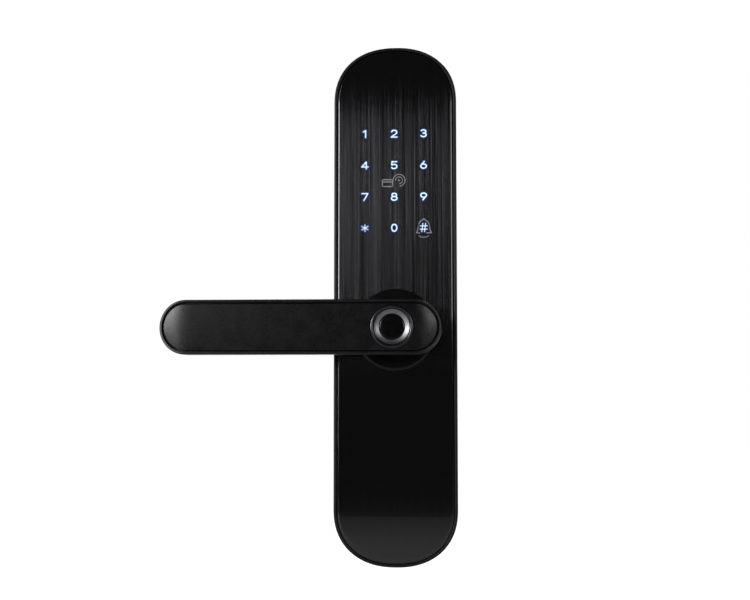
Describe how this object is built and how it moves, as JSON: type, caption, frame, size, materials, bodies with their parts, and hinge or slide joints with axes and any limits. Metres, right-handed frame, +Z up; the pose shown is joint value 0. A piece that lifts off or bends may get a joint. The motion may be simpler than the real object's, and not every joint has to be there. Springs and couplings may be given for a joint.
{
  "type": "keypad smart lock",
  "caption": "Long rounded door plate with a touch keypad behind black glass and a straight lever handle that holds a fingerprint reader, spindle and fixing posts behind.",
  "frame": {"origin": "lever and spindle axis where it meets the door's face (the plane of the gasket's back)", "axes": "+Z up along the door plate, -Y out of the door towards the user, +X to the user's right; the lever points to -X"},
  "size_m": [0.1635, 0.1134, 0.3],
  "materials": {
    "case_black": "satin black powder coat on cast zinc",
    "glass_black": "polished black cover glass over a brushed dark layer",
    "lever_black": "satin black coat, rounded edges",
    "face_black": "fine matte black inlay",
    "dark_chrome": "polished dark chrome funnel",
    "sensor_black": "smooth black sensor window",
    "board_green": "solder-masked circuit board",
    "copper_coil": "etched copper turns",
    "dark_plastic": "moulded dark plastic",
    "white_polymer": "natural white polymer",
    "steel": "zinc-plated steel",
    "dark_steel": "blackened steel",
    "spring_steel": "drawn spring wire",
    "brass": "turned brass",
    "rubber": "matte black rubber"
  },
  "bodies": {
    "case": {"housing": "case_black", "front_glass": "glass_black", "key_light_shield": "dark_plastic", "keypad_board": "board_green", "card_antenna": "copper_coil", "main_board": "board_green", "buzzer": "dark_plastic", "back_plate": "steel", "gasket": "rubber", "cable_grommet": "rubber", "mounting_post_upper": "steel", "mounting_post_lower": "steel", "rosette": "lever_black", "rosette_screw_1": "steel", "rosette_screw_2": "steel", "rosette_screw_3": "steel", "back_plate_screw_1": "dark_steel", "back_plate_screw_2": "dark_steel", "back_plate_screw_3": "dark_steel", "back_plate_screw_4": "dark_steel", "board_screw_1": "steel", "board_screw_2": "steel", "board_screw_3": "steel", "board_screw_4": "steel", "hub_bush": "white_polymer", "return_spring": "spring_steel", "clutch_motor": "steel", "motor_cradle": "white_polymer", "key_cylinder": "brass", "power_socket": "steel", "flap_pin": "steel", "tamper_switch": "dark_plastic", "tamper_spring": "spring_steel"},
    "lever": {"lever_body": "lever_black", "lever_face": "face_black", "fingerprint_bezel": "lever_black", "fingerprint_ring": "dark_chrome", "fingerprint_sensor": "sensor_black", "fingerprint_board": "board_green", "sensor_cable": "dark_plastic", "lever_shaft": "steel", "lever_set_screw": "steel", "hub_washer": "steel", "hub_circlip": "steel", "lever_cam": "dark_steel", "clutch_pin_spring": "spring_steel"},
    "coupling_pin": {"clutch_pin": "steel"},
    "spindle_set": {"spindle": "steel", "spindle_hub": "dark_steel", "spindle_cross_pin": "steel"},
    "drive_screw": {"motor_screw": "steel"},
    "clutch_carriage": {"clutch_nut": "brass", "clutch_spring": "spring_steel", "clutch_shoe": "white_polymer"},
    "key_set": {"key_plug": "brass", "key_cam": "steel"},
    "push_rod": {"key_rod": "dark_steel"},
    "flap": {"dust_flap": "rubber"},
    "tamper": {"tamper_plunger": "white_polymer"}
  },
  "joints": [
    {"name": "lever_turn", "type": "hinge", "parent": "case", "child": "lever", "pos_m": [0, 0, 0], "axis": [0, -1, 0], "range_deg": [-45, 45], "stiffness_Nm_per_rad": 1.2, "springref_deg": -5.73, "deforming": ["return_spring"]},
    {"name": "spindle_turn", "type": "hinge", "parent": "case", "child": "spindle_set", "pos_m": [0, 0, 0], "axis": [0, -1, 0], "range_deg": [-45, 45]},
    {"name": "drive_screw_spin", "type": "hinge", "parent": "case", "child": "drive_screw", "pos_m": [0, -0.0074, -0.0365], "axis": [0, 0, 1], "range_deg": [0, 360]},
    {"name": "clutch_slide", "type": "slide", "parent": "case", "child": "clutch_carriage", "axis": [0, 0, -1], "range_m": [0, 0.0025]},
    {"name": "coupling_pin_slide", "type": "slide", "parent": "lever", "child": "coupling_pin", "axis": [0, 0, -1], "range_m": [0, 0.0016], "deforming": ["clutch_pin_spring"]},
    {"name": "key_turn", "type": "hinge", "parent": "case", "child": "key_set", "pos_m": [0, -0.011, -0.104], "axis": [0, 0, 1], "range_deg": [-90, 0]},
    {"name": "key_rod_slide", "type": "slide", "parent": "case", "child": "push_rod", "axis": [0, 0, -1], "range_m": [-0.0025, 0]},
    {"name": "flap_swing", "type": "hinge", "parent": "case", "child": "flap", "pos_m": [-0.00979, -0.011, -0.13277], "axis": [0, 1, 0], "range_deg": [0, 110]},
    {"name": "tamper_press", "type": "slide", "parent": "case", "child": "tamper", "axis": [0, -1, 0], "range_m": [0, 0.002], "stiffness_N_per_m": 150, "springref_m": -0.002, "deforming": ["tamper_spring"]}
  ],
  "couplings": [
    {"joint": "spindle_turn", "follows": "lever_turn", "ratio": 1},
    {"joint": "drive_screw_spin", "follows": "clutch_slide", "rad_per_m": 2513.3},
    {"joint": "coupling_pin_slide", "follows": "clutch_slide", "ratio": 0.64},
    {"joint": "key_turn", "follows": "key_rod_slide", "rad_per_m": 628.32}
  ]
}
